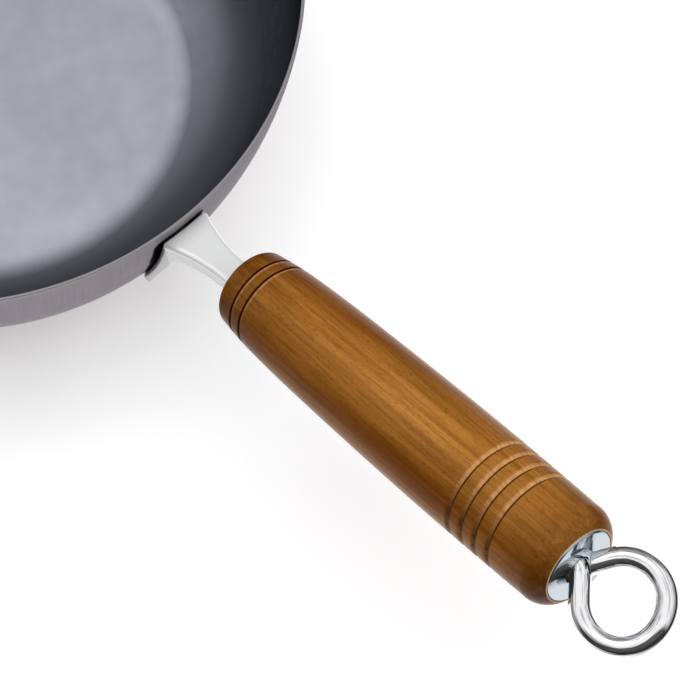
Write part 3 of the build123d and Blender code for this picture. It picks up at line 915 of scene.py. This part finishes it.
@dataclass
class Grip:
    """The turned handle: one outline turned about the handle's axis, with its mortise, bore and seat."""

    start: float = 0.0352
    length: float = 0.1572
    full_radius: float = 0.0181
    face_radius: float = 0.0108
    edge_radius: float = 0.0142
    edge_length: float = 0.0026
    side_stations: tuple = (0.062, 0.158, 0.38, 0.705, 0.948)
    side_radii: tuple = (0.84, 0.906, 0.967, 1.0, 0.979)
    end_station: float = 0.984
    end_radius: float = 0.895
    seat_radius: float = 0.0131
    seat_depth: float = 0.00175
    end_rim: float = 0.0003
    near_grooves: tuple = (0.0084, 0.0135)
    near_width: float = 0.0007
    near_depth: float = 0.0006
    far_first: float = 0.1183
    far_pitch: float = 0.00585
    far_count: int = 4
    far_slope: float = 0.0021
    far_step: float = 0.0003
    far_depth: float = 0.0007
    bore_radius: float = 0.00385
    mortise_end: float = 0.0292
    mortise_half: tuple = (0.0052, 0.0056)
    mortise_power: float = 14.0
    near_bow: float = 0.8
    near_slope_share: float = 0.65
    near_slope_marks: tuple = ((0.25, 0.6), (1.5, 2.3))
    near_step_marks: tuple = ((-0.9, -0.6), (0.05, 0.2))
    far_slope_marks: tuple = ((0.16, 0.24), (0.5, 1.05))
    far_step_marks: tuple = ((-0.22, -0.14), (1.0, 1.8))
    edge_count: int = 14
    side_count: int = 90
    shoulder_count: int = 26
    near_span: tuple = (1.1, 2.4)
    near_count: int = 21
    far_span: float = 1.8
    far_counts: tuple = (12, 7)
    station_digits: int = 7
    turns: int = 180

    def outline(self) -> tuple[np.ndarray, dict[str, np.ndarray]]:
        """The outside in station and radius, with masks of the grooves' slopes and steps and the raw edge.

        Returns:
            Stations and radii, and each mask from 0 to 1 at every point.
        """
        pan_edge = self.pan_edge()
        knots = np.array([self.edge_length, *(share * self.length for share in self.side_stations)])
        radii = np.array([self.edge_radius, *(share * self.full_radius for share in self.side_radii)])
        station = self.fine_stations(knots[0], knots[-1])
        side = natural_spline(knots, radii, station)
        cut, slopes, steps = self.grooves(station)
        body = np.stack([station, side - cut], axis=1)
        end = self.far_end(knots[-1], radii[-1])
        outline = np.concatenate([pan_edge, body, end[1:]])
        masks = {name: np.zeros(len(outline)) for name in GRIP_MASKS}
        grooved = slice(len(pan_edge), len(pan_edge) + len(body))
        masks["groove_slope"][grooved] = slopes
        masks["groove_step"][grooved] = steps
        masks["raw_edge"][-1:] = 1.0
        return outline, masks

    def grooves(self, station: np.ndarray) -> tuple[np.ndarray, np.ndarray, np.ndarray]:
        """Depth of the grooves along the side, with masks of their slopes and steps.

        A near groove is an even V with bowed sides: its depth times a power of one less the distance from
        its middle over its half width. A far groove sinks evenly along its slope and climbs back on its
        short step. The marks are in widths of the groove, of its slope or of its step.

        Args:
            station: Stations along the side.

        Returns:
            The depth, and the two masks from 0 to 1.
        """
        cut, slopes, steps = np.zeros_like(station), np.zeros_like(station), np.zeros_like(station)
        for place in self.near_grooves:
            ahead = (station - place) / self.near_width
            even = np.clip(1.0 - np.abs(ahead), 0.0, 1.0)
            cut = np.maximum(cut, self.near_depth * even**self.near_bow)
            slopes = np.maximum(slopes, self.near_slope_share * window(ahead, *self.near_slope_marks))
            steps = np.maximum(steps, window(ahead, *self.near_step_marks))
        for place in self.far_grooves():
            behind = (place - station) / self.far_slope
            ahead = (station - place) / self.far_step
            sinking = np.clip(1.0 - behind, 0.0, 1.0) * (behind >= 0.0)
            climbing = np.clip(1.0 - ahead, 0.0, 1.0) * (ahead > 0.0)
            cut = np.maximum(cut, self.far_depth * np.maximum(sinking, climbing))
            slopes = np.maximum(slopes, window(behind, *self.far_slope_marks))
            rise, fall = self.far_step_marks
            steps = np.maximum(steps, smooth_step(*rise, -behind) * (1.0 - smooth_step(*fall, ahead)))
        return cut, slopes, steps

    def far_grooves(self) -> list[float]:
        """Stations of the far grooves, where the slope meets the step."""
        return [self.far_first + self.far_pitch * count for count in range(self.far_count)]

    def pan_edge(self) -> np.ndarray:
        """Rounded edge at the pan end: a quarter of an ellipse from the face to the side."""
        angle = np.linspace(0.0, QUARTER_TURN, self.edge_count)[:-1]
        rise = self.edge_radius - self.face_radius
        station = self.edge_length * (1.0 - np.cos(angle))
        return np.stack([station, self.face_radius + rise * np.sin(angle)], axis=1)

    def far_end(self, station: float, radius: float) -> np.ndarray:
        """Rounded shoulder at the eye end, through its middle point to the thin rim round the plate."""
        rim = (self.length, self.seat_radius + self.end_rim)
        middle = (self.end_station * self.length, self.end_radius * self.full_radius)
        first = np.array([station, radius])
        return circle_through(first, np.array(middle), np.array(rim), self.shoulder_count)

    def fine_stations(self, low: float, high: float) -> np.ndarray:
        """Stations along the side, close together in the grooves and wide apart elsewhere."""
        parts = [np.linspace(low, high, self.side_count)]
        for place in self.near_grooves:
            before, after = (self.near_width * share for share in self.near_span)
            parts.append(np.linspace(place - before, place + after, self.near_count))
        for place in self.far_grooves():
            parts.append(np.linspace(place - self.far_slope, place, self.far_counts[0]))
            parts.append(np.linspace(place, place + self.far_step * self.far_span, self.far_counts[1]))
        return np.unique(np.round(np.concatenate(parts), self.station_digits))

    def mortise_ring(self, angle: np.ndarray) -> np.ndarray:
        """Radius of the rounded square mortise at each angle: a box with its corners eased."""
        across, up = np.abs(np.sin(angle)), np.abs(np.cos(angle))
        half_up, half_across = self.mortise_half
        power = self.mortise_power
        return ((across / half_across) ** power + (up / half_up) ** power) ** (-1.0 / power)

    def build(self) -> bpy.types.Object:
        """Turn the outline, then run back through seat, bore and mortise to the pan face.

        Returns:
            The grip's mesh object, with its groove and raw edge attributes.
        """
        outline, masks = self.outline()
        angle = round_angles(self.turns)
        station = np.repeat(outline[:, :1], self.turns, axis=1)
        radius = np.repeat(outline[:, 1:], self.turns, axis=1)
        seat_end = self.length - self.seat_depth
        square = self.mortise_ring(angle)
        inner = [
            (self.length, self.seat_radius),
            (seat_end, self.seat_radius),
            (seat_end, self.bore_radius),
            (self.mortise_end, self.bore_radius),
            (self.mortise_end, square),
            (0.0, square),
        ]
        inner_station = np.stack([np.full(self.turns, place) for place, _ in inner])
        inner_radius = np.stack([np.broadcast_to(size, (self.turns,)) for _, size in inner])
        station = np.concatenate([station, inner_station]) + self.start
        radius = np.concatenate([radius, inner_radius])
        points = np.stack([station, radius * np.sin(angle), radius * np.cos(angle)], axis=-1)
        piece = ring_mesh("turned_grip", HANDLE.to_model(points), True)
        for name, mask in masks.items():
            full = np.concatenate([mask, np.full(len(inner), 1.0 if name == "raw_edge" else 0.0)])
            add_mask(piece, name, np.repeat(full, self.turns))
        face_outwards(piece)
        return piece


def circle_through(first: np.ndarray, middle: np.ndarray, last: np.ndarray, count: int) -> np.ndarray:
    """Points on the circle arc through three points.

    The centre solves two equations: its distance to the first point equals that to each other point.

    Args:
        first: Where the arc starts.
        middle: A point that it passes.
        last: Where it ends.
        count: Number of points.

    Returns:
        The points, from first to last.
    """
    system = 2.0 * np.array([middle - first, last - first])
    right = np.array([middle @ middle - first @ first, last @ last - first @ first])
    centre = np.linalg.solve(system, right)
    start = math.atan2(*(first - centre)[::-1])
    end = math.atan2(*(last - centre)[::-1])
    return arc_points(tuple(centre), float(np.linalg.norm(first - centre)), start, end, count)


@dataclass
class EndPlate:
    """The flat bright disc in the grip's far end: a rounded edge, a hole and a slot for the root bend."""

    face: float = 0.19265
    thickness: float = 0.002
    radius: float = 0.0129
    edge_round: float = 0.0007
    hole_radius: float = 0.0037
    slot_run: float = 0.00229
    lip_round: float = 0.0002
    slot_turn: float = math.radians(24.0)
    edge_count: int = 9
    lip_count: int = 5
    turns: int = 192

    def hole(self, angle: np.ndarray) -> np.ndarray:
        """Distance from the axis to the edge of the hole and its slot.

        Facing the slot, a ray leaves through the slot's side or, beyond its run, through its round end.

        Args:
            angle: Angle about the axis from the direction of the slot.

        Returns:
            The distance at each angle.
        """
        along, across = np.cos(angle), np.abs(np.sin(angle))
        side = self.hole_radius / np.maximum(across, TINY)
        lateral = np.clip(self.hole_radius**2 - (self.slot_run * across) ** 2, 0.0, None)
        end = self.slot_run * along + np.sqrt(lateral)
        facing = np.where(side * along <= self.slot_run, side, end)
        return np.where(along <= 0.0, self.hole_radius, facing)

    def build(self) -> bpy.types.Object:
        """Turn the plate's outside about the handle's axis and run back down through its slotted hole.

        Returns:
            The plate's mesh object.
        """
        back = self.face - self.thickness
        middle = (self.face - self.edge_round, self.radius - self.edge_round)
        edge = arc_points(middle, self.edge_round, QUARTER_TURN, 0.0, self.edge_count)
        outside = np.concatenate([[(back, self.radius)], edge])
        angle = round_angles(self.turns)
        hole = self.hole(angle)
        middle = (self.face - self.lip_round, self.lip_round)
        lip = arc_points(middle, self.lip_round, 0.0, -QUARTER_TURN, self.lip_count)
        station = np.concatenate([outside[:, 0], lip[:, 0], [back]])
        inner = [hole + rise for rise in lip[:, 1]] + [hole]
        radius = np.concatenate([outside[:, 1:] * np.ones(self.turns), np.stack(inner)])
        across, up = -radius * np.cos(angle), radius * np.sin(angle)
        points = HANDLE.turned(station[:, None] * np.ones(self.turns), across, up, self.slot_turn)
        piece = ring_mesh("bright_end_plate", points, True)
        face_outwards(piece)
        return piece


@dataclass
class EyeBolt:
    """One bent wire: threaded shank, root bend, leg, round loop and a return leg cut beside the root."""

    wire_radius: float = 0.0035
    thread_radius: float = 0.003
    thread_start: float = 0.0557
    shank_start: float = 0.0662
    plate_face: float = 0.19265
    seat_gap: float = 0.00025
    loop_radius: float = 0.0134
    leg_angle: float = math.radians(52.5)
    root_bend: float = 0.0042
    end_gap: float = 0.0002
    end_round: float = 0.0003
    droop: float = math.radians(11.7)
    turn: float = math.radians(24.0)
    shank_count: int = 24
    bend_count: int = 26
    leg_count: int = 8
    loop_count: int = 150
    end_count: int = 5
    sides: int = 72

    def root(self) -> float:
        """Station where the shank's axis meets the legs."""
        angle = self.leg_angle
        wire = self.wire_radius
        to_corner = (wire + self.end_gap - wire * math.cos(2.0 * angle)) / math.sin(2.0 * angle)
        return self.plate_face + self.seat_gap - to_corner * math.cos(angle) + wire * math.sin(angle)

    def loop_axes(self) -> tuple[np.ndarray, np.ndarray, np.ndarray]:
        """The loop's plane: out from the root, across, and square to both, in the bolt's own frame."""
        out = np.array([math.cos(self.droop), 0.0, -math.sin(self.droop)])
        square = np.array([math.sin(self.droop), 0.0, math.cos(self.droop)])
        return out, np.array([0.0, 1.0, 0.0]), square

    def leg(self, side: float) -> np.ndarray:
        """Unit direction of a leg away from the root, for side -1 or 1."""
        out, across, _ = self.loop_axes()
        return math.cos(self.leg_angle) * out + side * math.sin(self.leg_angle) * across

    def middle_line(self) -> tuple[np.ndarray, np.ndarray, np.ndarray]:
        """The wire's middle line from the shank to where the return leg is cut.

        The root bend is an arc in the plane of the shank and the first leg. The loop is an arc in its own
        plane, which the two legs touch.

        Returns:
            Points, unit directions, and unit vectors square to them that turn evenly along the wire.
        """
        root = np.array([self.root(), 0.0, 0.0])
        out, across, square = self.loop_axes()
        first, back = self.leg(-1.0), self.leg(1.0)
        shank_way = np.array([1.0, 0.0, 0.0])
        turn = math.acos(float(first @ shank_way))
        bend_run = self.root_bend * math.tan(turn / 2.0)
        shank_end = root - shank_way * bend_run
        inwards = first - shank_way * (first @ shank_way)
        inwards /= np.linalg.norm(inwards)
        swing = np.linspace(0.0, turn, self.bend_count)[:, None]
        bend = self.root_bend * (np.sin(swing) * shank_way - np.cos(swing) * inwards)
        bend += shank_end + inwards * self.root_bend
        shank = np.linspace(np.array([self.shank_start, 0.0, 0.0]), shank_end, self.shank_count)
        leg_run = self.loop_radius / math.tan(self.leg_angle)
        leg = np.linspace(root + first * bend_run, root + first * leg_run, self.leg_count)
        half = QUARTER_TURN + self.leg_angle
        sweep = np.linspace(-half, half, self.loop_count)[:, None]
        centre = root + out * self.loop_radius / math.sin(self.leg_angle)
        loop = centre + self.loop_radius * (np.cos(sweep) * out + np.sin(sweep) * across)
        stop = (self.wire_radius + self.end_gap) / math.sin(2.0 * self.leg_angle) + self.wire_radius
        home = np.linspace(root + back * leg_run, root + back * stop, self.leg_count)
        points = np.concatenate([shank, bend[1:], leg[1:], loop[1:], home[1:]])
        way = np.gradient(points, axis=0)
        way[:self.shank_count] = shank_way
        way[-self.leg_count:] = -back
        way /= np.linalg.norm(way, axis=1, keepdims=True)
        past_shank = (np.arange(len(points)) - self.shank_count) / self.bend_count
        share = smooth_step(0.0, 1.0, past_shank)[:, None]
        lift = (1.0 - share) * np.array([0.0, 0.0, 1.0]) + share * square
        lift -= way * np.sum(lift * way, axis=1, keepdims=True)
        lift /= np.linalg.norm(lift, axis=1, keepdims=True)
        return points, way, lift

    def cut_end(self, middle: np.ndarray, way: np.ndarray, circle: np.ndarray) -> np.ndarray:
        """Rings that round off the wire's end and cut it along the first leg.

        Each point of a ring slides along the return leg until it lies in the cutting plane, which runs
        beside the first leg at the wire's radius and a gap from its middle.

        Args:
            middle: Last point of the middle line.
            way: Unit direction of the wire there.
            circle: Unit directions from the middle line to the points of a ring.

        Returns:
            The rings, each a little smaller than the one before.
        """
        out, across, _ = self.loop_axes()
        beside = math.sin(self.leg_angle) * out + math.cos(self.leg_angle) * across
        quarter = np.linspace(0.0, QUARTER_TURN, self.end_count)[:, None, None]
        reach = self.wire_radius - self.end_round * (1.0 - np.cos(quarter))
        ends = middle + reach * circle
        height = (ends - np.array([self.root(), 0.0, 0.0])) @ beside
        level = self.wire_radius + self.end_gap + self.end_round * (1.0 - np.sin(quarter[..., 0]))
        return ends + ((height - level) / float(-way @ beside))[..., None] * way

    def build(self) -> bpy.types.Object:
        """Carry a circle along the middle line, from the thinner thread to the cut end.

        Returns:
            The bolt's mesh object, with its attributes for the draw marks.
        """
        points, way, lift = self.middle_line()
        side = np.cross(way, lift)
        angle = round_angles(self.sides)
        cosine, sine = np.cos(angle)[None, :, None], np.sin(angle)[None, :, None]
        circles = cosine * lift[:, None] + sine * side[:, None]
        rings = points[:, None] + self.wire_radius * circles
        thread = rings[:1].repeat(2, axis=0)
        thread[..., 1:] *= self.thread_radius / self.wire_radius
        thread[0, :, 0] = self.thread_start
        local = np.concatenate([thread, rings, self.cut_end(points[-1], way[-1], circles[-1])])
        points = HANDLE.turned(local[..., 0], local[..., 1], local[..., 2], self.turn)
        piece = ring_mesh("chromed_eye_bolt", points)
        steps = np.linalg.norm(np.diff(local.mean(axis=1), axis=0), axis=1)
        travelled = np.concatenate([[0.0], np.cumsum(steps)])
        along = np.concatenate([np.repeat(travelled, self.sides), travelled[[0, -1]]])
        add_mask(piece, "along_wire", along)
        circle = np.stack([np.cos(angle), np.sin(angle), np.zeros(self.sides)], axis=1)
        rounds = np.concatenate([np.tile(circle, (len(local), 1)), np.zeros((2, 3))]).astype(np.float32)
        attribute = piece.data.attributes.new("round_wire", "FLOAT_VECTOR", "POINT")
        attribute.data.foreach_set("vector", rounds.ravel())
        face_outwards(piece)
        return piece


@dataclass(frozen=True)
class DarkWall:
    """A darker side of the tent: its direction, how far it leans back, its soft edge and what it leaves."""

    toward: tuple
    lean: float
    edge: tuple
    share: float


@dataclass(frozen=True)
class SoftBox:
    """A square lamp: its name, its place, the length of its side and its power in watts."""

    name: str
    place: tuple
    size: float
    power: float


@dataclass
class Studio:
    """White table, two lamps, the camera, and a tent that the camera doesn't see but mirrors do.

    The tent has a bright box, two darker walls and thin dark seams.
    """

    floor_half: float = 3.0
    floor_colour: tuple = (0.86, 0.86, 0.865, 1.0)
    floor_glow: float = 0.265
    table_middle: tuple = (0.15, 0.0, 0.0)
    table_reach: tuple = (0.28, 0.54)
    beyond_table: tuple = (0.03, 0.03, 0.03, 1.0)
    camera_place: tuple = (0.4842, -0.2552, 0.9725)
    camera_target: tuple = (0.19302, 0.00909, 0.07578)
    lens: float = 155.13
    sensor: float = 36.0
    near_clip: float = 0.01
    lamp_target: tuple = (0.15, 0.0, 0.05)
    overhead: SoftBox = SoftBox("overhead_box", (0.05, 0.15, 1.5), 1.3, 8.6)
    beside: SoftBox = SoftBox("side_box", (0.9, 1.0, 0.9), 0.9, 4.2)
    horizon_share: float = 0.3
    tent_height: float = 0.72
    back_wall: DarkWall = DarkWall((-0.766, 0.643, 0.0), 0.0, (0.5, 0.75), 0.4)
    side_wall: DarkWall = DarkWall((0.574, -0.819, 0.0), 0.12, (0.39, 0.52), 0.12)
    box_way: tuple = (-0.52, -0.12, 0.845)
    box_reach: tuple = (0.93, 0.99)
    box_strength: float = 0.75
    seam_pitch: float = 19.0
    seam_phase: float = 1.0
    seam_edge: tuple = (0.82, 0.95)
    seam_share: float = 0.35

    def build_floor(self) -> None:
        """Lay the table. It glows a little to the camera and mirrors, and mirrors see it end in the dark."""
        half = self.floor_half
        mesh = bpy.data.meshes.new("floor")
        corners = [(-half, -half, 0.0), (half, -half, 0.0), (half, half, 0.0), (-half, half, 0.0)]
        mesh.from_pydata(corners, [], [(0, 1, 2, 3)])
        floor = put_in_scene("floor", mesh)
        material = bpy.data.materials.new("floor_white")
        material.use_nodes = True
        sheet = NodeSheet(material.node_tree)
        sheet.tree.nodes.clear()
        path = sheet.add("ShaderNodeLightPath").outputs
        mirrored = sheet.maths("MAXIMUM", path["Is Glossy Ray"], path["Is Transmission Ray"])
        seen = sheet.maths("MAXIMUM", path["Is Camera Ray"], mirrored)
        glow = sheet.add("ShaderNodeEmission", {"Strength": sheet.times(seen, self.floor_glow)})
        matt = sheet.add("ShaderNodeBsdfDiffuse", {"Color": self.floor_colour})
        both = sheet.add("ShaderNodeAddShader", {0: glow.outputs[0], 1: matt.outputs[0]})
        where = sheet.add("ShaderNodeTexCoord").outputs["Object"]
        away = sheet.compare("DISTANCE", where, self.table_middle)
        beyond = sheet.times(sheet.remap(away, *self.table_reach), mirrored)
        dark = sheet.add("ShaderNodeEmission", {"Color": self.beyond_table})
        mixed = sheet.add("ShaderNodeMixShader", {0: beyond, 1: both.outputs[0], 2: dark.outputs[0]})
        sheet.add("ShaderNodeOutputMaterial", {"Surface": mixed.outputs[0]})
        mesh.materials.append(material)

    def build_sky(self) -> None:
        """Make the world. The camera sees white, and all else sees the tent.

        The tent is dimmer towards the horizon, at its two darker walls and along its seams, and brighter
        where its box hangs. How far a direction points toward a wall or the box is their dot product.
        """
        world = bpy.data.worlds.new("studio_sky")
        world.use_nodes = True
        bpy.context.scene.world = world
        sheet = NodeSheet(world.node_tree)
        sheet.tree.nodes.clear()
        way = sheet.add("ShaderNodeTexCoord").outputs["Generated"]
        height = sheet.split(way)[2]
        tent = sheet.remap(height, 0.0, self.tent_height, self.horizon_share, 1.0)
        for wall in (self.back_wall, self.side_wall):
            facing = sheet.compare("DOT_PRODUCT", way, wall.toward)
            inside = sheet.maths("SUBTRACT", facing, sheet.times(height, wall.lean))
            tent = sheet.times(tent, sheet.remap(inside, *wall.edge, 1.0, wall.share))
        facing = sheet.compare("DOT_PRODUCT", way, self.box_way)
        box = sheet.remap(facing, *self.box_reach, 0.0, self.box_strength)
        tent = sheet.maths("ADD", tent, box)
        wave = sheet.maths("ADD", sheet.times(height, self.seam_pitch), self.seam_phase)
        seams = sheet.remap(sheet.maths("SINE", wave), *self.seam_edge, 1.0, self.seam_share)
        tent = sheet.times(tent, seams)
        path = sheet.add("ShaderNodeLightPath").outputs
        strength = sheet.add("ShaderNodeMix", {0: path["Is Camera Ray"], 2: tent, 3: 1.0}).outputs[0]
        back = sheet.add("ShaderNodeBackground", {"Color": WHITE, "Strength": strength})
        sheet.add("ShaderNodeOutputWorld", {"Surface": back.outputs[0]})

    def build_lamps(self) -> None:
        """Two soft boxes that shape the shadows; mirrors see the tent and not the boxes."""
        for box in (self.overhead, self.beside):
            data = bpy.data.lights.new(box.name, "AREA")
            data.shape = "SQUARE"
            data.size = box.size
            data.energy = box.power
            lamp = put_in_scene(box.name, data)
            aim(lamp, box.place, self.lamp_target)
            lamp.visible_glossy = False

    def build_camera(self) -> None:
        """Place the camera."""
        data = bpy.data.cameras.new("camera")
        data.lens = self.lens
        data.sensor_width = self.sensor
        data.clip_start = self.near_clip
        camera = put_in_scene("camera", data)
        aim(camera, self.camera_place, self.camera_target)
        bpy.context.scene.camera = camera

    def build(self) -> None:
        """Set the whole stage."""
        self.build_floor()
        self.build_sky()
        self.build_lamps()
        self.build_camera()
        bpy.context.scene.view_settings.view_transform = "Standard"


def main() -> None:
    """Build the wok's pieces in order, dress them and set the stage."""
    logging.basicConfig(level=logging.INFO, format="%(name)s: %(message)s")
    steel = SatinSteel().build()
    plating = BrightMetal(
        "bright_plating", from_srgb(250, 251, 251), roughness=0.24, cloud=0.015, metallic=0.4
    ).build()
    zinc = BrightMetal(
        "bright_zinc", from_srgb(196, 205, 211), roughness=0.07, cloud=0.06, ripple_distance=0.00003
    ).build()
    chrome = BrightMetal(
        "polished_chrome", from_srgb(246, 246, 248), roughness=0.035, cloud=0.03, draw_marks=0.00022
    ).build()
    weld = BrightMetal("weld_metal", from_srgb(150, 150, 154), roughness=0.4, cloud=0.15).build()
    wood = StainedWood().build()
    new_pieces = (
        (Bowl().build(), steel, "carbon_steel", "pan_shell"),
        (Grip().build(), wood, "stained_wood", "wooden_grip"),
        (EndPlate().build(), zinc, "zinc_plating", "end_plate"),
        (EyeBolt().build(), chrome, "chrome_wire", "eye_bolt"),
    )
    for piece, material, slot, node in new_pieces:
        dress(piece, material)
        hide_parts(node)
        log.info("%s stands for %s, %d faces", piece.name, node, len(piece.data.polygons))
    packed = {"neck_bracket": plating, "spot_welds": weld, "tie_block": zinc, "block_weld_beads": weld}
    for node, material in packed.items():
        coat_node(node, material)
        log.info("%s keeps its packed shape", node)
    Studio().build()


if __name__ == "__main__":
    main()
